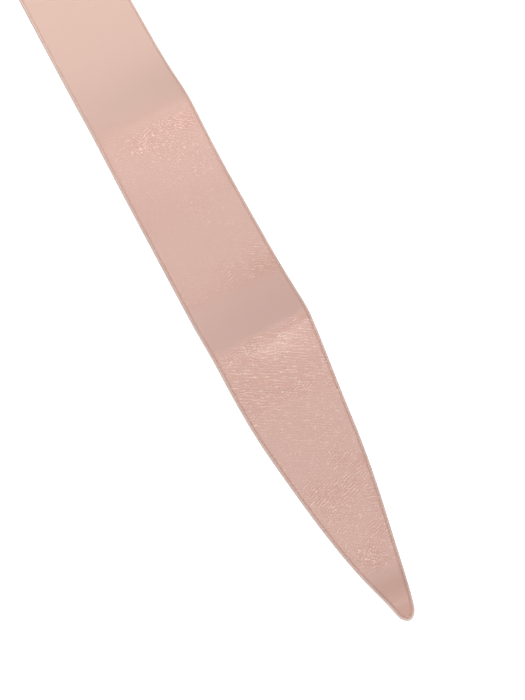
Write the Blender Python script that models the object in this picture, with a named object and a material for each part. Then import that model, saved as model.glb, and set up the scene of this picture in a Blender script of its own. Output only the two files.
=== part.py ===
"""A sash belt: one long strip of supple glossy leather, laid out straight on a table.

The strip is cut with parallel sides, and each end draws in over a long convex taper to a small round point.
Its edge is turned and sewn down, which leaves a rolled rim and a shallow groove round the upper face.
It was kept folded, so a soft crease crosses it every 20 cm or so and still stands off the table there, higher
at one edge than at the other. Its points curl up a little too. Between the creases it lies flat.

Metres, +Z up. The origin is on the table, under the middle of the strip, and +X runs along it to one point.
On the cut, "along" is the distance from the +X point, and "across" the distance from the middle line to +Y.
"""

import math
from collections import namedtuple

import bmesh
import bpy
import numpy as np

MM = 0.001

# The flat cut
CUT_LENGTH = 2.000
CUT_WIDTH = 75 * MM
TAPER_LENGTH = 259 * MM
TAPER_FULLNESS = 2.13
POINT_WIDTH = 9.1 * MM
POINT_ROUNDING = 6 * MM

# The wall: rows in from its rim, each at a height above the underside
Row = namedtuple("Row", "inset height")
UNDERSIDE_ROWS = (
    Row(1.00 * MM, 0.00 * MM),
    Row(0.30 * MM, 0.25 * MM),
)
RIM_ROW = Row(0.00 * MM, 1.05 * MM)
UPPER_ROWS = (
    Row(0.30 * MM, 1.80 * MM),
    Row(1.00 * MM, 2.15 * MM),
    Row(2.20 * MM, 1.70 * MM),
    Row(3.40 * MM, 2.00 * MM),
)
# Then rows at these shares of the way on to the middle line
SHARES_TO_MIDDLE = (0.5, 1.0)

# The creases, in order from the +X point: how high each lifts the +Y and the -Y edge, how far its slopes run
# towards that point and away from it, how much farther along its ridge lies at the +Y edge than midway, and
# how widely the ridge is rounded
Crease = namedtuple("Crease", "along lift_plus_y lift_minus_y run_near run_far slant rounding")
CREASES = (
    Crease(0.014, 6.2 * MM, 5.6 * MM, 40 * MM, 44 * MM, 0 * MM, 6 * MM),
    Crease(0.219, 8.4 * MM, 3.4 * MM, 66 * MM, 58 * MM, 2 * MM, 6 * MM),
    Crease(0.412, 8.9 * MM, 2.7 * MM, 62 * MM, 52 * MM, -1 * MM, 13 * MM),
    Crease(0.603, 3.1 * MM, 8.4 * MM, 58 * MM, 52 * MM, 4 * MM, 8 * MM),
    Crease(0.797, 7.6 * MM, 3.4 * MM, 60 * MM, 46 * MM, -3 * MM, 7 * MM),
    Crease(0.996, 4.8 * MM, 6.9 * MM, 52 * MM, 60 * MM, 2 * MM, 11 * MM),
    Crease(1.192, 2.4 * MM, 8.8 * MM, 47 * MM, 62 * MM, -4 * MM, 6 * MM),
    Crease(1.391, 7.2 * MM, 3.0 * MM, 56 * MM, 50 * MM, 3 * MM, 9 * MM),
    Crease(1.588, 3.6 * MM, 7.7 * MM, 50 * MM, 61 * MM, -2 * MM, 7 * MM),
    Crease(1.781, 8.1 * MM, 2.6 * MM, 57 * MM, 64 * MM, 2 * MM, 8 * MM),
    Crease(1.982, 3.6 * MM, 4.4 * MM, 46 * MM, 34 * MM, 0 * MM, 6 * MM),
)
CREASE_FALL = 2.2

# How far the middle line wanders to +Y near the +X point. From the last row on, the strip runs straight.
Sway = namedtuple("Sway", "along aside")
SWAYS = (
    Sway(0.045, -3.8 * MM),
    Sway(0.140, -2.5 * MM),
    Sway(0.230, 0.0 * MM),
)

# Sections across the strip: how far apart they stand at a point, on a crease and on a flat stretch
POINT_SPACING = 3.6 * MM
CREASE_SPACING = 6.0 * MM
FLAT_SPACING = 30 * MM
TAPER_SPREAD = 0.11
RIBS_ROUND_A_POINT = 9

FINE_STEPS = 4000
WELD = 0.001 * MM
SMOOTH_UP_TO = math.radians(50)
LEATHER_COLOUR = (0.64, 0.41, 0.35, 1.0)
LEATHER_ROUGHNESS = 0.32


def half_width(to_end):
    """Half width of the cut at a distance from its end: point + (full - point) * (1 - (1 - share)^fullness)."""
    share = np.clip(to_end / TAPER_LENGTH, 0.0, 1.0)
    return (POINT_WIDTH + (CUT_WIDTH - POINT_WIDTH) * (1 - (1 - share) ** TAPER_FULLNESS)) / 2


def share_of_lift(crease, beyond):
    """Share of a crease's lift at a distance beyond its ridge, negative towards the +X point.

    (1 - r / run)^fall, where r = sqrt(beyond^2 + rounding^2) - rounding, so that the ridge is round.
    """
    r = np.sqrt(beyond**2 + crease.rounding**2) - crease.rounding
    run = np.where(beyond < 0, crease.run_near, crease.run_far)
    return np.clip(1 - r / run, 0.0, 1.0) ** CREASE_FALL


def lift(along, across):
    """Height of the underside above the table: a crease's lift changes evenly from one edge to the other."""
    side = across / (CUT_WIDTH / 2)
    height = np.zeros_like(along)
    for crease in CREASES:
        full = (crease.lift_plus_y * (1 + side) + crease.lift_minus_y * (1 - side)) / 2
        height += full * share_of_lift(crease, along - crease.along - crease.slant * side)
    return height


def sway(along):
    """Distance of the middle line to +Y, eased from each row of the table to the next by 3t^2 - 2t^3."""
    aside = np.full_like(along, SWAYS[-1].aside)
    for here, after in zip(SWAYS[:-1], SWAYS[1:]):
        t = np.clip((along - here.along) / (after.along - here.along), 0.0, 1.0)
        aside += (here.aside - after.aside) * (1 - t * t * (3 - 2 * t))
    return aside


def reach():
    """Distances along the cut, and how far over the table each one reaches, which is less over a slope."""
    along = np.linspace(0.0, CUT_LENGTH, FINE_STEPS + 1)
    rise = np.diff(lift(along, np.zeros_like(along)))
    step = np.sqrt(np.diff(along) ** 2 - rise**2)
    return along, np.concatenate([[0.0], np.cumsum(step)])


def sections():
    """Distances along the cut of the sections across it, closest at the points and on the creases."""
    along = np.linspace(POINT_ROUNDING, CUT_LENGTH - POINT_ROUNDING, FINE_STEPS + 1)
    to_end = np.minimum(along, CUT_LENGTH - along)
    spacing = np.minimum(FLAT_SPACING, POINT_SPACING + to_end * TAPER_SPREAD)
    for crease in CREASES:
        off_ridge = np.abs(along - crease.along) / np.maximum(crease.run_near, crease.run_far)
        widened = CREASE_SPACING + (FLAT_SPACING - CREASE_SPACING) * np.clip(off_ridge - 0.5, 0.0, 1.0)
        spacing = np.minimum(spacing, widened)
    passed = np.concatenate([[0.0], np.cumsum(np.diff(along) / ((spacing[1:] + spacing[:-1]) / 2))])
    return np.interp(np.linspace(0.0, passed[-1], round(passed[-1]) + 1), passed, along)


def ribs():
    """Where each rib leaves the rim and where it meets the middle, as two arrays of (along, across).

    The ribs go once round the strip: down its +Y side, round the far point, back up its -Y side and round
    the near point. Along a side they cross the strip squarely. Round a point they fan from one centre.
    """
    along = sections()
    half = half_width(np.minimum(along, CUT_LENGTH - along))
    turn = np.linspace(math.pi / 2, -math.pi / 2, RIBS_ROUND_A_POINT + 2)[1:-1]
    to_end = POINT_ROUNDING * (1 - np.cos(turn))
    round_half = half_width(to_end) * np.sin(turn)

    rim_along = [along, CUT_LENGTH - to_end, along[::-1], to_end]
    rim_across = [half, round_half, -half[::-1], -round_half]
    far_centre = np.full_like(turn, CUT_LENGTH - POINT_ROUNDING)
    near_centre = np.full_like(turn, POINT_ROUNDING)
    middle_along = np.concatenate([along, far_centre, along[::-1], near_centre])
    rim = np.column_stack([np.concatenate(rim_along), np.concatenate(rim_across)])
    return rim, np.column_stack([middle_along, np.zeros_like(middle_along)])


def rings():
    """Closed rings round the strip, from the underside's middle line out to the rim and in to the upper one.

    Each holds (along, across, height) for every rib: rim + inward * inset, with inset in metres or as a share
    of what is left of the rib.
    """
    rim, middle = ribs()
    length = np.linalg.norm(middle - rim, axis=1, keepdims=True)
    inward = (middle - rim) / length

    def ring(inset, height):
        return np.column_stack([rim + inward * inset, np.full(len(rim), height)])

    def towards_middle(last):
        return [ring(last.inset + (length - last.inset) * share, last.height) for share in SHARES_TO_MIDDLE]

    underside = towards_middle(UNDERSIDE_ROWS[0])[::-1] + [ring(*row) for row in UNDERSIDE_ROWS]
    upper = [ring(*row) for row in UPPER_ROWS] + towards_middle(UPPER_ROWS[-1])
    return underside + [ring(*RIM_ROW)] + upper


def laid(ring):
    """A ring of the cut as it lies on the table, over the creases, with the strip's middle at the origin."""
    along, across, height = ring.T
    cut, table = reach()
    x = table[-1] / 2 - np.interp(along, cut, table)
    y = sway(along) + across
    return np.column_stack([x, y, lift(along, across) + height])


def strip_mesh(name):
    """Joins the rings into one closed wall. The first and last lie folded on the middle line, welded there."""
    bm = bmesh.new()
    loops = [[bm.verts.new(point) for point in laid(ring)] for ring in rings()]
    for outer, inner in zip(loops[:-1], loops[1:]):
        for i, vertex in enumerate(outer):
            after = (i + 1) % len(outer)
            bm.faces.new((vertex, outer[after], inner[after], inner[i]))
    bmesh.ops.remove_doubles(bm, verts=bm.verts, dist=WELD)
    bmesh.ops.recalc_face_normals(bm, faces=bm.faces)
    mesh = bpy.data.meshes.new(name)
    bm.to_mesh(mesh)
    bm.free()
    mesh.shade_smooth()
    mesh.set_sharp_from_angle(angle=SMOOTH_UP_TO)
    return mesh


def leather():
    """Blush pink leather with a gloss finish."""
    material = bpy.data.materials.new("blush_leather")
    material.use_nodes = True
    shader = material.node_tree.nodes["Principled BSDF"]
    shader.inputs["Base Color"].default_value = LEATHER_COLOUR
    shader.inputs["Roughness"].default_value = LEATHER_ROUGHNESS
    shader.inputs["Metallic"].default_value = 0.0
    return material


def build():
    """Clears the scene and puts the strip in it."""
    for old in list(bpy.data.objects):
        bpy.data.objects.remove(old)
    strip = bpy.data.objects.new("sash_strip", strip_mesh("sash_strip"))
    strip.data.materials.append(leather())
    bpy.context.scene.collection.objects.link(strip)


build()
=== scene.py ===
"""A blush leather sash belt, laid out on a pale table and seen from above one pointed end.

Metres. +X runs along the strip to the point in view, +Y to that view's right, and Z is 0 on the table.
On the cut, "along" is the distance from the +X point, and "across" the distance from the middle line to +Y.
"""

import math
from collections import namedtuple

import bpy
import numpy as np
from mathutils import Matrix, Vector


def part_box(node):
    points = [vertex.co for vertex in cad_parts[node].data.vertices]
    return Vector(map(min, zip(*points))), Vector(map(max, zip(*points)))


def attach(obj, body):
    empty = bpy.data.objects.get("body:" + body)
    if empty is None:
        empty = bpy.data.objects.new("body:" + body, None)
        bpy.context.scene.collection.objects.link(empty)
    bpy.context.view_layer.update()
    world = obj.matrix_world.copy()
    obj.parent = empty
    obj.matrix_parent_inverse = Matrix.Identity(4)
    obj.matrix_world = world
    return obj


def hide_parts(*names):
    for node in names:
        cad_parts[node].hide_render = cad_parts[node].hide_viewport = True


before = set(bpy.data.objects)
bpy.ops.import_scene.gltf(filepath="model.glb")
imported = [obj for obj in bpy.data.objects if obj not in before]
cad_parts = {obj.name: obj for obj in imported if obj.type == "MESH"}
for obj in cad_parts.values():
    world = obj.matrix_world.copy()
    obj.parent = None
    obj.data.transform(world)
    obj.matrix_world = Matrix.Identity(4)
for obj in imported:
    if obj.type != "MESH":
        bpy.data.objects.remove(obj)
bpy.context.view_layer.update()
MM = 0.001

# The strip is one long cut of supple glossy leather, drawn in to a small round point at each end. Its edge is
# turned and sewn down, so it ends in a round bead with the stitches sunk in a groove behind. It was kept
# folded: soft creases still stand off the table, and the finish has crinkled on their near sides.

CUT_LENGTH = 2.000
CUT_WIDTH = 75 * MM
TAPER_LENGTH = 259 * MM
TAPER_FULLNESS = 2.13
POINT_WIDTH = 9.1 * MM
POINT_ROUNDING = 6 * MM

# The creases, in order from the +X point: how high each lifts the +Y and the -Y edge, how far its slopes run
# towards that point and away from it, how much farther along its ridge lies at the +Y edge than midway, and
# how widely the ridge is rounded
Crease = namedtuple("Crease", "along lift_plus_y lift_minus_y run_near run_far slant rounding")
CREASES = (
    Crease(0.014, 6.2 * MM, 5.6 * MM, 40 * MM, 44 * MM, 0 * MM, 6 * MM),
    Crease(0.219, 8.4 * MM, 3.4 * MM, 66 * MM, 58 * MM, 2 * MM, 6 * MM),
    Crease(0.412, 8.9 * MM, 2.7 * MM, 62 * MM, 52 * MM, -1 * MM, 13 * MM),
    Crease(0.603, 3.1 * MM, 8.4 * MM, 58 * MM, 52 * MM, 4 * MM, 8 * MM),
    Crease(0.797, 7.6 * MM, 3.4 * MM, 60 * MM, 46 * MM, -3 * MM, 7 * MM),
    Crease(0.996, 4.8 * MM, 6.9 * MM, 52 * MM, 60 * MM, 2 * MM, 11 * MM),
    Crease(1.192, 2.4 * MM, 8.8 * MM, 47 * MM, 62 * MM, -4 * MM, 6 * MM),
    Crease(1.391, 7.2 * MM, 3.0 * MM, 56 * MM, 50 * MM, 3 * MM, 9 * MM),
    Crease(1.588, 3.6 * MM, 7.7 * MM, 50 * MM, 61 * MM, -2 * MM, 7 * MM),
    Crease(1.781, 8.1 * MM, 2.6 * MM, 57 * MM, 64 * MM, 2 * MM, 8 * MM),
    Crease(1.982, 3.6 * MM, 4.4 * MM, 46 * MM, 34 * MM, 0 * MM, 6 * MM),
)
CREASE_FALL = 2.2

# How far the middle line wanders to +Y near the +X point. From the last row on, the strip runs straight.
Sway = namedtuple("Sway", "along aside")
SWAYS = (
    Sway(0.045, -3.8 * MM),
    Sway(0.140, -2.5 * MM),
    Sway(0.230, 0.0 * MM),
)

# The wall and its round rim, how far in from the rim the bead and the seam lie, and how wide the edge is
WALL = 2.0 * MM
RIM_HEIGHT = 1.0 * MM
RIM_ROUND = 0.9 * MM
BEAD_INSET = 0.95 * MM
BEAD_SPREAD = 0.55 * MM
BEAD_RISE = 0.14 * MM
SEAM_INSET = 2.2 * MM
SEAM_SPREAD = 0.36 * MM
SEAM_DEPTH = 0.30 * MM
SEAM_DEPTH_UNDER = 0.60 * MM
EDGE_WIDTH = 4.2 * MM

# Soft dents are pressed into the upper face beside each crease: how far beyond the ridge and across each one
# lies, how many degrees it turns from square across, its half length and half width, and its depth
Dent = namedtuple("Dent", "beyond across turn half_length half_width depth")
DENTS = (
    Dent(-9 * MM, 20 * MM, 14, 20 * MM, 5.0 * MM, 0.05 * MM),
    Dent(-19 * MM, -6 * MM, -8, 26 * MM, 6.0 * MM, 0.05 * MM),
    Dent(-30 * MM, 14 * MM, 22, 18 * MM, 6.0 * MM, 0.06 * MM),
    Dent(-43 * MM, -12 * MM, -18, 17 * MM, 6.5 * MM, 0.05 * MM),
    Dent(-61 * MM, 9 * MM, 28, 22 * MM, 7.0 * MM, 0.05 * MM),
    Dent(-84 * MM, -14 * MM, 12, 16 * MM, 7.0 * MM, 0.04 * MM),
    Dent(-112 * MM, 6 * MM, -24, 19 * MM, 7.0 * MM, 0.05 * MM),
    Dent(26 * MM, -17 * MM, 9, 18 * MM, 8.0 * MM, 0.04 * MM),
)
DENT_STRETCH = 0.12
DENT_STRETCH_STEP = 2.4

# The finish has crinkled on each crease's near side and stayed smooth on its far side: where each crinkled
# stretch starts and ends, how strong it is at the two ends, and over what length it fades in and out
Zone = namedtuple("Zone", "start end at_start at_end fade_in fade_out")
ZONES = (
    Zone(0.037, 0.150, 1.00, 0.80, 10 * MM, 1 * MM),
    Zone(0.150, 0.221, 0.80, 1.00, 1 * MM, 9 * MM),
    Zone(0.258, 0.310, 0.90, 0.60, 8 * MM, 1 * MM),
    Zone(0.310, 0.412, 0.60, 1.00, 1 * MM, 18 * MM),
    Zone(0.640, 0.796, 0.40, 0.90, 12 * MM, 6 * MM),
    Zone(0.830, 0.995, 0.45, 0.80, 9 * MM, 14 * MM),
    Zone(1.060, 1.190, 0.40, 0.85, 10 * MM, 4 * MM),
    Zone(1.235, 1.390, 0.50, 0.70, 7 * MM, 12 * MM),
    Zone(1.440, 1.586, 0.40, 0.90, 11 * MM, 5 * MM),
    Zone(1.640, 1.780, 0.40, 0.85, 8 * MM, 10 * MM),
    Zone(1.815, 1.962, 0.80, 0.55, 9 * MM, 4 * MM),
)

# The ends of those stretches wander along the strip in two sine waves
Wave = namedtuple("Wave", "reach period_across period_along")
EDGE_WAVES = (
    Wave(1.0 * MM, 5.2 * MM, 43 * MM),
    Wave(0.7 * MM, -2.1 * MM, 29 * MM),
)

# In the crinkled stretches there are patches of lines in two directions and of small pebbles. Each patch
# lies beyond a crease by so much and so far across, and reaches so far both ways. Creases take the two sets
# in turn.
Patch = namedtuple("Patch", "kind beyond across half_along half_across strength")
PATCH_SETS = (
    (
        Patch("level", -6 * MM, 26 * MM, 13 * MM, 16 * MM, 1.00),
        Patch("level", -9 * MM, -2 * MM, 13 * MM, 20 * MM, 0.80),
        Patch("pebbled", -4 * MM, -14 * MM, 6 * MM, 16 * MM, 0.70),
        Patch("level", -27 * MM, -4 * MM, 16 * MM, 20 * MM, 0.70),
        Patch("level", -33 * MM, 26 * MM, 14 * MM, 12 * MM, 0.55),
        Patch("level", -42 * MM, -1 * MM, 5 * MM, 12 * MM, 0.55),
        Patch("rising", -43 * MM, 12 * MM, 7 * MM, 8 * MM, 0.75),
        Patch("pebbled", -50 * MM, 30 * MM, 8 * MM, 6 * MM, 0.60),
        Patch("level", -34 * MM, -27 * MM, 20 * MM, 13 * MM, 0.60),
        Patch("level", -66 * MM, -8 * MM, 22 * MM, 24 * MM, 0.28),
        Patch("pebbled", -80 * MM, 14 * MM, 20 * MM, 18 * MM, 0.35),
        Patch("rising", -101 * MM, 10 * MM, 6 * MM, 7 * MM, 0.70),
        Patch("rising", -108 * MM, 24 * MM, 6 * MM, 7 * MM, 0.85),
        Patch("rising", -117 * MM, -14 * MM, 10 * MM, 8 * MM, 0.80),
        Patch("rising", -119 * MM, 6 * MM, 8 * MM, 16 * MM, 0.75),
        Patch("level", -136 * MM, 20 * MM, 9 * MM, 7 * MM, 0.75),
        Patch("pebbled", -134 * MM, -6 * MM, 12 * MM, 12 * MM, 0.50),
        Patch("rising", -155 * MM, 12 * MM, 6 * MM, 6 * MM, 0.90),
        Patch("pebbled", -168 * MM, -1 * MM, 9 * MM, 10 * MM, 0.70),
        Patch("rising", -176 * MM, -2 * MM, 6 * MM, 8 * MM, 0.40),
    ),
    (
        Patch("level", -18 * MM, 27 * MM, 5 * MM, 8 * MM, 1.00),
        Patch("pebbled", -14 * MM, 14 * MM, 5 * MM, 12 * MM, 0.65),
        Patch("rising", -17 * MM, -2 * MM, 6 * MM, 9 * MM, 0.60),
        Patch("pebbled", -20 * MM, -9 * MM, 7 * MM, 12 * MM, 0.55),
        Patch("pebbled", -30 * MM, 10 * MM, 12 * MM, 14 * MM, 0.50),
        Patch("pebbled", -55 * MM, 20 * MM, 14 * MM, 12 * MM, 0.40),
        Patch("rising", -82 * MM, 2 * MM, 12 * MM, 5 * MM, 0.50),
        Patch("pebbled", -88 * MM, 16 * MM, 14 * MM, 14 * MM, 0.40),
        Patch("rising", -108 * MM, 24 * MM, 7 * MM, 8 * MM, 0.50),
        Patch("level", -126 * MM, 30 * MM, 7 * MM, 12 * MM, 0.55),
        Patch("level", -142 * MM, 26 * MM, 10 * MM, 14 * MM, 0.75),
        Patch("rising", -135 * MM, 2 * MM, 11 * MM, 9 * MM, 0.50),
    ),
)
PATCH_GROUND = 0.20

# The mesh: ribs across the strip, closest on the stretch in view, and rows round it, closest at the edge
FINE_STEPS = 4000
SEEN_LENGTH = 0.60
SPACING_SEEN = 1.5 * MM
SPACING_BEYOND = 3.0 * MM
RIBS_ROUND_A_POINT = 41
ROWS_ON_RIM = 6
ROWS_ON_EDGE = 17
ROWS_TO_MIDDLE = 17
ROWS_UNDER = 5
UNDER_ROW_STEP = 2


def half_width(to_end):
    """Half width at a distance from an end: half of point + (full - point) * (1 - (1 - share)^fullness)."""
    share = np.clip(to_end / TAPER_LENGTH, 0.0, 1.0)
    return (POINT_WIDTH + (CUT_WIDTH - POINT_WIDTH) * (1 - (1 - share) ** TAPER_FULLNESS)) / 2


def share_of_lift(crease, beyond):
    """Share of a crease's lift at a distance beyond its ridge, negative towards the +X point.

    (1 - r / run)^fall, where r = sqrt(beyond^2 + rounding^2) - rounding, so that the ridge is round.
    """
    r = np.sqrt(beyond**2 + crease.rounding**2) - crease.rounding
    run = np.where(beyond < 0, crease.run_near, crease.run_far)
    return np.clip(1 - r / run, 0.0, 1.0) ** CREASE_FALL


def lift(along, across):
    """Height of the underside above the table: a crease's lift changes evenly from one edge to the other."""
    side = across / (CUT_WIDTH / 2)
    height = np.zeros_like(along)
    for crease in CREASES:
        full = (crease.lift_plus_y * (1 + side) + crease.lift_minus_y * (1 - side)) / 2
        height += full * share_of_lift(crease, along - crease.along - crease.slant * side)
    return height


def sway(along):
    """Distance of the middle line to +Y, eased from each row of the table to the next by 3t^2 - 2t^3."""
    aside = np.full_like(along, SWAYS[-1].aside)
    for here, after in zip(SWAYS[:-1], SWAYS[1:]):
        t = np.clip((along - here.along) / (after.along - here.along), 0.0, 1.0)
        aside += (here.aside - after.aside) * (1 - t * t * (3 - 2 * t))
    return aside


def laid(along, across, height):
    """Points of the cut as they lie on the table, in an array (..., 3).

    x runs from the middle of the box, each step shortened to sqrt(step^2 - rise^2) where the strip climbs.
    y is the sway plus across, and z the lift plus the height above the underside.
    """
    cut = np.linspace(0.0, CUT_LENGTH, FINE_STEPS + 1)
    rise = np.diff(lift(cut, np.zeros_like(cut)))
    table = np.concatenate([[0.0], np.cumsum(np.sqrt(np.diff(cut) ** 2 - rise**2))])
    x = table[-1] / 2 - np.interp(along, cut, table)
    return np.stack([x, sway(along) + across, lift(along, across) + height], axis=-1)


def dents(along, across):
    """Depth pressed into the upper face: for each dent exp(-(t / half_width)^2 - (s / half_length)^2).

    s runs along the dent and t across it. From crease to crease the dents swap sides and stretch a little.
    """
    depth = np.zeros_like(along)
    for i, crease in enumerate(CREASES):
        flip = 1 if i % 2 == 0 else -1
        stretch = 1 + DENT_STRETCH * math.sin(DENT_STRETCH_STEP * i)
        for dent in DENTS:
            turn = math.radians(dent.turn * flip)
            off_along = along - crease.along - dent.beyond * stretch
            off_across = across - dent.across * flip
            s = off_across * math.cos(turn) + off_along * math.sin(turn)
            t = off_along * math.cos(turn) - off_across * math.sin(turn)
            depth += dent.depth * np.exp(-((t / dent.half_width) ** 2) - (s / dent.half_length) ** 2)
    return depth


def flexed(along, across):
    """How much the finish has crinkled: each zone faded in and out, its strength changing evenly between.

    The zones' edges wander: along + reach * sin(across / period_across + along / period_along) for each wave.
    """
    for wave in EDGE_WAVES:
        along = along + wave.reach * np.sin(across / wave.period_across + along / wave.period_along)
    amount = np.zeros_like(along)
    for zone in ZONES:
        t = np.clip((along - zone.start) / (zone.end - zone.start), 0.0, 1.0)
        rise_in = np.clip((along - zone.start) / zone.fade_in + 0.5, 0.0, 1.0)
        fall_out = np.clip((zone.end - along) / zone.fade_out + 0.5, 0.0, 1.0)
        strength = zone.at_start + (zone.at_end - zone.at_start) * t
        amount = np.maximum(amount, strength * rise_in * fall_out)
    return amount


def patched(along, across, kind):
    """How much crinkle of one kind there is: a little everywhere, and more in its patches.

    A patch adds strength * exp(-(off_along / half_along)^2 - (off_across / half_across)^2).
    """
    amount = np.full_like(along, PATCH_GROUND)
    for i, crease in enumerate(CREASES[1:-1]):
        flip = -1 if i % 4 > 1 else 1
        for patch in PATCH_SETS[i % 2]:
            if patch.kind == kind:
                off_along = (along - crease.along - patch.beyond) / patch.half_along
                off_across = (across - patch.across * flip) / patch.half_across
                amount += patch.strength * np.exp(-(off_along**2) - off_across**2)
    return np.minimum(amount, 1.0) * flexed(along, across)


def upper_height(inset):
    """Height of the upper face over the underside, by distance from the rim.

    A quarter ellipse up from the rim, plus a bead and minus the seam's groove, each exp(-(off / spread)^2).
    """
    climbed = np.sqrt(1 - np.clip(1 - inset / RIM_ROUND, 0.0, 1.0) ** 2)
    bead = BEAD_RISE * np.exp(-(((inset - BEAD_INSET) / BEAD_SPREAD) ** 2))
    groove = SEAM_DEPTH * np.exp(-(((inset - SEAM_INSET) / SEAM_SPREAD) ** 2))
    return RIM_HEIGHT + (WALL - RIM_HEIGHT) * climbed + (bead - groove) * climbed


def under_height(inset):
    """Height of the lower face: a quarter ellipse down from the rim to the table, and the seam's groove."""
    climbed = np.sqrt(1 - np.clip(1 - inset / RIM_ROUND, 0.0, 1.0) ** 2)
    groove = SEAM_DEPTH_UNDER * np.exp(-(((inset - SEAM_INSET) / SEAM_SPREAD) ** 2))
    return RIM_HEIGHT * (1 - climbed) + groove


def ribs():
    """Where each rib leaves the rim, (rib, 2) as along and across, where it ends, and that end's number.

    The ribs go once round: down the +Y side, round the far point, up the -Y side and round the near point.
    Along a side they run squarely to the middle line. Round a point they fan from one centre.
    """
    start, stop = POINT_ROUNDING, CUT_LENGTH - POINT_ROUNDING
    seen = np.arange(start, SEEN_LENGTH, SPACING_SEEN)
    beyond = np.linspace(SEEN_LENGTH, stop, round((stop - SEEN_LENGTH) / SPACING_BEYOND))
    along = np.concatenate([seen, beyond])
    half = half_width(np.minimum(along, CUT_LENGTH - along))
    turn = np.linspace(math.pi / 2, -math.pi / 2, RIBS_ROUND_A_POINT + 2)[1:-1]
    to_end = POINT_ROUNDING * (1 - np.cos(turn))
    round_half = half_width(to_end) * np.sin(turn)
    rim = np.column_stack([
        np.concatenate([along, CUT_LENGTH - to_end, along[::-1], to_end]),
        np.concatenate([half, round_half, -half[::-1], -round_half]),
    ])
    number = np.arange(len(along))
    last = np.full(len(turn), len(along) - 1)
    end = np.concatenate([number, last, number[::-1], last * 0])
    return rim, along, end


def strip_shell():
    """The strip's closed wall, as points, faces, and three values a point: along, across and inset.

    Rows of points go round the strip at growing insets: rim + inward * inset on the edge, then even shares
    of what is left of each rib, and last the middle line itself. The lower face has every second row.
    """
    rim, stations, end = ribs()
    middle = np.column_stack([stations, np.zeros_like(stations)])
    length = np.linalg.norm(middle[end] - rim, axis=1)
    inward = (middle[end] - rim) / length[:, None]

    turn = np.linspace(0.0, math.pi / 2, ROWS_ON_RIM)
    rounded = RIM_ROUND * (1 - np.cos(turn))
    edge = np.concatenate([rounded, np.linspace(RIM_ROUND, EDGE_WIDTH, ROWS_ON_EDGE)[1:]])
    shares = np.linspace(0.0, 1.0, ROWS_TO_MIDDLE + 1)[1:-1]
    under_shares = np.linspace(0.0, 1.0, ROWS_UNDER + 1)[1:-1]

    def insets(shares):
        inner = edge[-1] + (length[None, :] - edge[-1]) * shares[:, None]
        return np.concatenate([np.repeat(edge[:, None], len(rim), axis=1), inner])

    upper = insets(shares)
    under = insets(under_shares)[1::UNDER_ROW_STEP][::-1]
    inset = np.concatenate([under, upper])
    cut = rim[None] + inward[None] * inset[..., None]
    along, across = cut[..., 0], cut[..., 1]
    fade = np.clip((upper - EDGE_WIDTH) / EDGE_WIDTH, 0.0, 1.0)
    pressed = dents(along[len(under):], across[len(under):]) * fade
    height = np.concatenate([under_height(under), upper_height(upper) - pressed])

    row_points = laid(along, across, height).reshape(-1, 3)
    zero = np.zeros_like(stations)
    low_middle = laid(stations, zero, zero)
    high_middle = laid(stations, zero, WALL - dents(stations, zero))
    points = np.concatenate([row_points, low_middle, high_middle])

    def measured(rows, at_middle):
        return np.concatenate([rows.ravel(), at_middle, at_middle])

    values = np.column_stack([
        measured(along, stations),
        measured(across, zero),
        measured(inset, half_width(np.minimum(stations, CUT_LENGTH - stations))),
    ])

    rows, round_count = inset.shape
    grid = np.arange(rows * round_count).reshape(rows, round_count)
    low_end = rows * round_count + end
    high_end = low_end + len(stations)
    grid = np.concatenate([low_end[None], grid, high_end[None]])
    after = np.roll(grid, -1, axis=1)
    quads = np.stack([grid[:-1], after[:-1], after[1:], grid[1:]], axis=-1).reshape(-1, 4)
    pinched_low = quads[:, 0] == quads[:, 1]
    pinched_high = quads[:, 2] == quads[:, 3]
    faces = quads[~pinched_low & ~pinched_high].tolist()
    faces += quads[pinched_low][:, 1:].tolist()
    faces += quads[pinched_high][:, :3].tolist()
    return points, faces, values


def new_piece(name, points, faces):
    """A smooth mesh object of this name, put in the scene."""
    mesh = bpy.data.meshes.new(name)
    mesh.from_pydata(points.tolist(), [], faces)
    mesh.shade_smooth()
    mesh.validate()
    piece = bpy.data.objects.new(name, mesh)
    bpy.context.scene.collection.objects.link(piece)
    return piece


def keep_values(piece, uv, **values):
    """Gives a piece a UV map, one (u, v) a point, and named numbers, one a point."""
    mesh = piece.data
    corner = np.empty(len(mesh.loops), dtype=np.int32)
    mesh.loops.foreach_get("vertex_index", corner)
    layer = mesh.uv_layers.new(name="cut")
    layer.data.foreach_set("uv", uv[corner].astype(np.float32).ravel())
    for name, value in values.items():
        mesh.attributes.new(name, "FLOAT", "POINT").data.foreach_set("value", value.astype(np.float32))


class Value:
    """One output of a finish's nodes. Arithmetic on it adds the Math nodes that work out the result."""

    def __init__(self, finish, socket):
        self.finish, self.socket = finish, socket

    def math(self, operation, *operands):
        return self.finish.node("ShaderNodeMath", {"operation": operation}, dict(enumerate(operands)))

    def __add__(self, other):
        return self.math("ADD", self, other)

    def __sub__(self, other):
        return self.math("SUBTRACT", self, other)

    def __rsub__(self, other):
        return self.math("SUBTRACT", other, self)

    def __mul__(self, other):
        return self.math("MULTIPLY", self, other)

    def __truediv__(self, other):
        return self.math("DIVIDE", self, other)

    def __pow__(self, other):
        return self.math("POWER", self, other)

    def __abs__(self):
        return self.math("ABSOLUTE", self)

    def sine(self):
        return self.math("SINE", self)

    __radd__ = __add__
    __rmul__ = __mul__

    def between(self, low, high):
        """0 below low and 1 above high, with a smooth step from one to the other."""
        settings = {"interpolation_type": "SMOOTHSTEP"}
        sockets = {"Value": self, "From Min": low, "From Max": high}
        return self.finish.node("ShaderNodeMapRange", settings, sockets)


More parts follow.
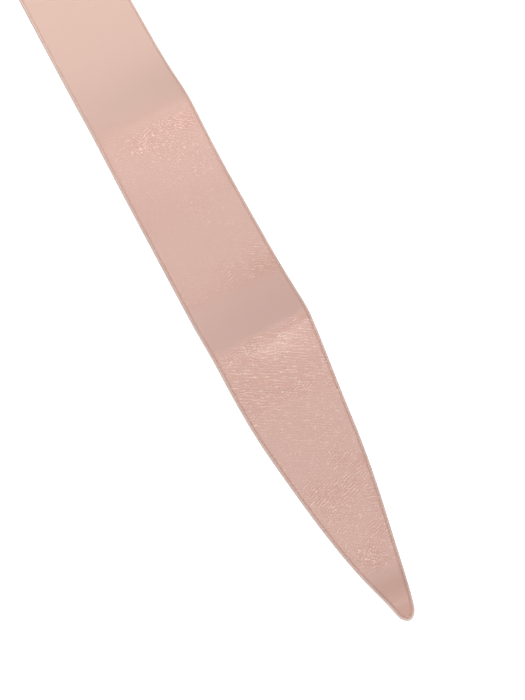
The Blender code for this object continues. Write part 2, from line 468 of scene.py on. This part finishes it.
class Finish:
    """A material made node by node."""

    def __init__(self, name):
        self.material = bpy.data.materials.new(name)
        self.material.use_nodes = True
        self.tree = self.material.node_tree
        self.tree.nodes.clear()

    def node(self, kind, settings, sockets, output=0):
        """Adds a node: first its settings, then each socket's value or link. Returns one of its outputs."""
        made = self.tree.nodes.new(kind)
        for name, value in settings.items():
            setattr(made, name, value)
        for name, value in sockets.items():
            if isinstance(value, Value):
                self.tree.links.new(value.socket, made.inputs[name])
            else:
                made.inputs[name].default_value = value
        return Value(self, made.outputs[output])

    def point(self, x, y, z=0.0):
        return self.node("ShaderNodeCombineXYZ", {}, {"X": x, "Y": y, "Z": z})

    def noise(self, where, size, detail=2.0):
        """Smooth random values about one half, in features of this size."""
        sockets = {"Vector": where, "Scale": 1 / size, "Detail": detail}
        return self.node("ShaderNodeTexNoise", {}, sockets, "Fac")

    def attribute(self, name):
        """A number that the mesh keeps for each point."""
        return self.node("ShaderNodeAttribute", {"attribute_name": name}, {}, "Fac")

    def on_the_cut(self):
        """The two values of the piece's own UV map."""
        return self.split(self.node("ShaderNodeUVMap", {"uv_map": "cut"}, {}))

    def bump(self, height):
        """A normal that tilts as a relief of this height in metres would."""
        return self.node("ShaderNodeBump", {}, {"Height": height, "Strength": 1.0, "Distance": 1.0})

    def blend(self, share, first, second):
        """A colour that goes from the first to the second as the share goes from 0 to 1."""
        sockets = {0: share, 6: first, 7: second}
        return self.node("ShaderNodeMix", {"data_type": "RGBA"}, sockets, 2)

    def split(self, vector):
        """The first two parts of a vector."""
        first = self.node("ShaderNodeSeparateXYZ", {}, {"Vector": vector})
        return first, Value(self, first.socket.node.outputs["Y"])

    def done(self, surface):
        """Sends a shader to the material's surface, and returns the material."""
        out = self.tree.nodes.new("ShaderNodeOutputMaterial")
        self.tree.links.new(surface.socket, out.inputs["Surface"])
        return self.material


# Tones of the smooth ground near the point and far from it, and of a crinkled stretch; painted shade in its
# furrows, over the point and in the seam's groove; painted highlights and glints on its ridges; and the rim
BLUSH = (0.630, 0.410, 0.356, 1.0)
BLUSH_CREAM = (0.642, 0.444, 0.375, 1.0)
BLUSH_WARM = (0.632, 0.384, 0.322, 1.0)
BLUSH_FURROW_SHADE = (0.605, 0.328, 0.265, 1.0)
BLUSH_POINT_SHADE = (0.572, 0.342, 0.284, 1.0)
BLUSH_RIDGE_HIGHLIGHT = (0.875, 0.617, 0.538, 1.0)
BLUSH_GLINT = (0.990, 0.775, 0.690, 1.0)
BLUSH_SEAM_SHADE = (0.500, 0.275, 0.240, 1.0)
PALE_RIM = (0.615, 0.490, 0.442, 1.0)

# How many degrees each kind of line turns from square across, how far apart its lines stand, how far they
# run, and a number that keeps its noise apart from the other kind's
Lines = namedtuple("Lines", "kind turn spacing length seed")
LINES = (
    Lines("level", -27, 2.0 * MM, 6.0 * MM, 0.0),
    Lines("rising", 21, 1.9 * MM, 3.4 * MM, 7.0),
)
LINE_WANDER = 2.2
LINE_WANDER_SIZE = 10 * MM
LINE_BREAK_SIZE = 1.25
LINE_BREAK_STEP = (0.39, 0.60)
PEBBLE_SIZE = 2.0 * MM
PEBBLE_WANDER = 1.2
PEBBLE_WANDER_SIZE = 4 * MM
PEBBLE_STEP = (0.0, 0.35)
PEBBLE_SHARE = 0.6
DOT_SPACING = 3.2 * MM
DOT_STEP = (0.64, 0.76)
DOT_SHARE = 0.70
GRAIN_SIZE = 1.1 * MM
GRAIN_STEP = (0.44, 0.80)
GRAIN_SHARE = 0.55
CRINKLE_HEIGHT = 0.42 * MM

# How much of each tone is laid on, and between which values or distances it comes in
TINT_SIZE = 45 * MM
TINT_WANDER = 0.3
CREAM_REACH = (0.40, 0.65)
WARM_SHARE = 0.9
FURROW_SHADE_STEP = (0.45, 1.40)
FURROW_SHADE_SHARE = 0.60
RIDGE_HIGHLIGHT_STEP = (0.14, 0.78)
RIDGE_HIGHLIGHT_SHARE = 0.55
GLINT_SIZE = 2.5 * MM
GLINT_STEP = (0.56, 0.68)
GLINT_RIDGE_STEP = (0.30, 0.80)
GLINT_SHARE = 0.6
POINT_SHADE_REACH = (26 * MM, 44 * MM)
SEAM_SHADE_REACH = (0.20 * MM, 0.60 * MM)
SEAM_SHADE_SHARE = 0.20
PALE_RIM_REACH = (0.45 * MM, 1.60 * MM)


def leather_finish():
    """Glossy blush leather, with fine crinkle in its patches, painted shade in its seam and a paler rim.

    The crinkle is a sum, times each kind's patches: sine lines squared where a noise doesn't break them,
    pebbles with furrows round them, round dots, and a fine grain over the whole stretch. Its high ridges get
    painted highlights and glints, its patches painted shade for their furrows, and the point painted shade.
    """
    finish = Finish("blush leather")
    along, across = finish.on_the_cut()
    inset = finish.attribute("inset")
    ground = finish.point(along, across)

    crinkle = 0.0
    furrow_shade = 0.0
    for lines in LINES:
        turn = math.radians(lines.turn)
        over = along * math.cos(turn) - across * math.sin(turn)
        beside = along * math.sin(turn) + across * math.cos(turn)
        wander = finish.noise(finish.point(along, across, lines.seed * MM), LINE_WANDER_SIZE, detail=1.0)
        wave = ((over / lines.spacing + wander * LINE_WANDER) * (2 * math.pi)).sine()
        stretched = finish.point(over / lines.spacing, beside / lines.length, lines.seed)
        unbroken = finish.noise(stretched, LINE_BREAK_SIZE).between(*LINE_BREAK_STEP)
        amount = finish.attribute(lines.kind)
        crinkle = crinkle + (wave * 0.5 + 0.5) ** 2 * unbroken * amount
        furrow_shade = furrow_shade + amount
    wander = finish.noise(ground, PEBBLE_WANDER_SIZE, detail=1.0) * PEBBLE_WANDER
    cells = finish.point(along / PEBBLE_SIZE + wander, across / PEBBLE_SIZE - wander)
    settings = {"voronoi_dimensions": "2D", "feature": "DISTANCE_TO_EDGE"}
    to_furrow = finish.node("ShaderNodeTexVoronoi", settings, {"Vector": cells, "Scale": 1.0})
    pebble = to_furrow.between(*PEBBLE_STEP)
    dots = finish.noise(ground, DOT_SPACING, detail=0.0).between(*DOT_STEP)
    amount = finish.attribute("pebbled")
    crinkle = crinkle + (pebble * PEBBLE_SHARE + dots * DOT_SHARE) * amount
    furrow_shade = (furrow_shade + amount).between(*FURROW_SHADE_STEP)
    flexed = finish.attribute("flexed")
    grain = finish.noise(ground, GRAIN_SIZE, detail=1.0).between(*GRAIN_STEP)
    crinkle = crinkle + grain * flexed * GRAIN_SHARE

    tint = finish.noise(ground, TINT_SIZE) * TINT_WANDER + along
    colour = finish.blend(tint.between(*CREAM_REACH), BLUSH, BLUSH_CREAM)
    colour = finish.blend(flexed * WARM_SHARE, colour, BLUSH_WARM)
    # Painted shade: the crinkled patches are darkened for the shade that falls in their furrows.
    colour = finish.blend(furrow_shade * FURROW_SHADE_SHARE, colour, BLUSH_FURROW_SHADE)
    # Painted highlight: the crinkle's high ridges are made paler, as if they caught the light.
    colour = finish.blend(crinkle.between(*RIDGE_HIGHLIGHT_STEP) * RIDGE_HIGHLIGHT_SHARE, colour, BLUSH_RIDGE_HIGHLIGHT)
    # Painted glints: small bright spots of colour on the crinkle's ridges.
    glint = finish.noise(ground, GLINT_SIZE, detail=1.0).between(*GLINT_STEP)
    glint = glint * crinkle.between(*GLINT_RIDGE_STEP)
    colour = finish.blend(glint * GLINT_SHARE, colour, BLUSH_GLINT)
    # Painted shade: darker and rosier within 26 to 44 mm of the point.
    colour = finish.blend(1 - along.between(*POINT_SHADE_REACH), colour, BLUSH_POINT_SHADE)
    # Painted shade in the seam's groove, beside the thread.
    seam_shade = 1 - abs(inset - SEAM_INSET).between(*SEAM_SHADE_REACH)
    colour = finish.blend(seam_shade * SEAM_SHADE_SHARE, colour, BLUSH_SEAM_SHADE)
    # A paler, greyer tone on the rim's outer 0.45 to 1.6 mm.
    colour = finish.blend(1 - inset.between(*PALE_RIM_REACH), colour, PALE_RIM)
    sockets = {
        "Base Color": colour, "Normal": finish.bump(crinkle * CRINKLE_HEIGHT),
        "Roughness": 0.60, "Specular IOR Level": 0.25, "Coat Weight": 0.5, "Coat Roughness": 0.16,
    }
    return finish.done(finish.node("ShaderNodeBsdfPrincipled", {}, sockets))


points, faces, values = strip_shell()
strip = new_piece("leather_strip", points, faces)
along, across, inset = values.T
crinkles = {kind: patched(along, across, kind) for kind in ("level", "rising", "pebbled")}
keep_values(strip, values[:, :2], inset=inset, flexed=flexed(along, across), **crinkles)
strip.data.materials.append(leather_finish())
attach(strip, "root")
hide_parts("sash_strip")

# The edge is sewn right round with one row of matching thread, eight stitches to the inch, a little deeper
# in tone than the leather. A lockstitch shows the same on both faces, each stitch sunk at its holes.

STITCH_PITCH = 3.1 * MM
STITCH_LENGTH = 2.5 * MM
THREAD_RADIUS = 0.27 * MM
THREAD_RISE = 0.16 * MM
HOLE_DIP = 0.30 * MM
STITCH_RINGS = 7
STITCH_SIDES = 6
CLOSE_TO_END = 0.985
STEP_AHEAD = 0.2 * MM
PLY_SPACING = 0.5 * MM
PLY_HEIGHT = 0.02 * MM
THREAD_COLOUR = (0.600, 0.380, 0.325, 1.0)


def seam_line():
    """The seam's path on the cut, rim + inward * inset, as distances round it and (along, across) at each."""
    rim, stations, end = ribs()
    middle = np.column_stack([stations, np.zeros_like(stations)])
    inward = middle[end] - rim
    inward /= np.linalg.norm(inward, axis=1, keepdims=True)
    path = rim + inward * SEAM_INSET
    path = np.concatenate([path, path[:1]])
    run = np.concatenate([[0.0], np.cumsum(np.linalg.norm(np.diff(path, axis=0), axis=1))])
    return run, path


def stitches(upper):
    """All the stitches of one face, as points, faces and UVs of closed little sausages of thread.

    Along a stitch, s goes from -1 to 1: its middle line stands at rise * (1 - s^4) over the groove, less
    the dip * s^6 into its holes, and its radius is full * sqrt(1 - s^8). Round it, the thread is a circle.
    """
    run, path = seam_line()
    count = round(run[-1] / STITCH_PITCH)
    centre = (np.arange(count) + 0.5) * run[-1] / count
    s = np.sin(np.linspace(-1, 1, STITCH_RINGS) * math.pi / 2 * CLOSE_TO_END)
    turn = np.linspace(0, 2 * math.pi, STITCH_SIDES, endpoint=False)
    radius = THREAD_RADIUS * np.sqrt(1 - s**8)

    def on_path(distance):
        return np.stack([np.interp(distance % run[-1], run, path[:, k]) for k in (0, 1)], axis=-1)

    at = (centre[:, None] + s[None, :] * STITCH_LENGTH / 2) % run[-1]
    place = on_path(at)
    forward = on_path(at + STEP_AHEAD) - place
    forward /= np.linalg.norm(forward, axis=-1, keepdims=True)
    aside = np.stack([-forward[..., 1], forward[..., 0]], axis=-1)

    groove = upper_height(np.array(SEAM_INSET)) if upper else under_height(np.array(SEAM_INSET))
    above = THREAD_RISE * (1 - s**4) - HOLE_DIP * s**6
    middle = groove + above if upper else groove - above
    cut = place[:, :, None] + aside[:, :, None] * (radius[None, :, None] * np.cos(turn))[..., None]
    height = middle[None, :, None] + radius[None, :, None] * np.sin(turn)
    height = np.broadcast_to(height, cut.shape[:3])
    points = laid(cut[..., 0], cut[..., 1], height).reshape(-1, 3)

    ring = np.arange(STITCH_RINGS * STITCH_SIDES).reshape(STITCH_RINGS, STITCH_SIDES)
    after = np.roll(ring, -1, axis=1)
    quads = np.stack([ring[:-1], ring[1:], after[1:], after[:-1]], axis=-1).reshape(-1, 4)
    first = np.arange(count)[:, None, None] * ring.size
    caps = np.stack([ring[0], ring[-1][::-1]])
    faces = (first + quads[None]).reshape(-1, 4).tolist()
    faces += (first + caps[None]).reshape(-1, STITCH_SIDES).tolist()
    uv = np.column_stack([np.repeat(at.ravel(), STITCH_SIDES), np.tile(turn, at.size)])
    return points, faces, uv


def thread_finish():
    """Twisted polyester thread with a slight sheen: slanting plies round each stitch."""
    finish = Finish("matching thread")
    run, turn = finish.on_the_cut()
    plies = (run * (2 * math.pi / PLY_SPACING) + turn).sine()
    relief = finish.bump(plies * PLY_HEIGHT)
    sockets = {"Base Color": THREAD_COLOUR, "Roughness": 0.5, "Normal": relief, "Sheen Weight": 0.2}
    return finish.done(finish.node("ShaderNodeBsdfPrincipled", {}, sockets))


thread = thread_finish()
for name, upper in (("upper_stitches", True), ("lower_stitches", False)):
    points, faces, uv = stitches(upper)
    row = new_piece(name, points, faces)
    keep_values(row, uv)
    row.data.materials.append(thread)
    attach(row, "root")

# The table is a plain white sheet, big enough to fill any view. Two soft boxes light the strip, one overhead
# and one beyond its near point, with a small lamp for the crinkle's sparkle, and two spots the farther part.

TIP = Vector((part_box("sash_strip")[1][0], 0.0, 0.0))
TABLE_REACH = 30.0
TABLE_WHITE = (0.86, 0.86, 0.86, 1.0)
TABLE_GLOW = 0.55
WHITE = (1.0, 1.0, 1.0, 1.0)
ROOM_LIGHT = 0.37


def table_finish():
    """A plain matt white sheet, with a little light of its own so that the shadows on it stay pale."""
    finish = Finish("white table")
    sockets = {
        "Base Color": TABLE_WHITE, "Roughness": 0.9, "Specular IOR Level": 0.1,
        "Emission Color": WHITE, "Emission Strength": TABLE_GLOW,
    }
    return finish.done(finish.node("ShaderNodeBsdfPrincipled", {}, sockets))


corners = np.array([[-1, -1, 0], [1, -1, 0], [1, 1, 0], [-1, 1, 0]]) * TABLE_REACH
table = new_piece("table", corners, [[0, 1, 2, 3]])
table.data.materials.append(table_finish())

# Each lamp's place and aim from the near point, its size, its power in watts and its cone in degrees
Lamp = namedtuple("Lamp", "name kind place aim size power cone")
LAMPS = (
    Lamp("overhead box", "AREA", (-0.40, 0.00, 1.20), (-0.40, 0.00, 0.0), 1.1, 7.2, 0),
    Lamp("sparkle lamp", "AREA", (-0.20, 0.10, 1.60), (-0.20, 0.10, 0.0), 0.22, 1.2, 0),
    Lamp("front box", "AREA", (1.775, 0.00, 1.272), (-0.26, 0.00, 0.0), 1.0, 19.5, 0),
    Lamp("side spot", "SPOT", (-0.05, 1.30, 1.20), (-0.78, -0.22, 0.0), 0.2, 85.0, 28),
    Lamp("far spot", "SPOT", (-1.60, 0.50, 1.90), (-1.60, 0.00, 0.0), 0.3, 78.0, 58),
)
for lamp in LAMPS:
    data = bpy.data.lights.new(lamp.name, lamp.kind)
    data.energy = lamp.power
    if lamp.kind == "AREA":
        data.size = lamp.size
    else:
        data.shadow_soft_size = lamp.size
        data.spot_size = math.radians(lamp.cone)
        data.spot_blend = 1.0
    light = bpy.data.objects.new(lamp.name, data)
    light.location = TIP + Vector(lamp.place)
    aim = TIP + Vector(lamp.aim) - light.location
    light.rotation_euler = aim.to_track_quat("-Z", "Y").to_euler()
    bpy.context.scene.collection.objects.link(light)

world = bpy.data.worlds.new("studio")
world.use_nodes = True
world.node_tree.nodes["Background"].inputs["Color"].default_value = WHITE
world.node_tree.nodes["Background"].inputs["Strength"].default_value = ROOM_LIGHT
bpy.context.scene.world = world
bpy.context.scene.view_settings.view_transform = "Standard"

# The camera stands above and beyond the near point and looks back along the strip, 66 degrees down.

SENSOR_MM = 36.0
LONG_SIDE_PX = 700
FOCAL_PX = 1759
DOWN = math.radians(66.0)
BEARING = math.radians(26.596)
STAND = Vector((0.22298, -0.21988, 1.08993))

lens = bpy.data.cameras.new("camera")
lens.sensor_width = SENSOR_MM
lens.lens = SENSOR_MM * FOCAL_PX / LONG_SIDE_PX
camera = bpy.data.objects.new("camera", lens)
camera.location = TIP + STAND
looks = Vector((-math.cos(BEARING) * math.cos(DOWN), math.sin(BEARING) * math.cos(DOWN), -math.sin(DOWN)))
camera.rotation_euler = looks.to_track_quat("-Z", "Y").to_euler()
bpy.context.scene.collection.objects.link(camera)
bpy.context.scene.camera = camera
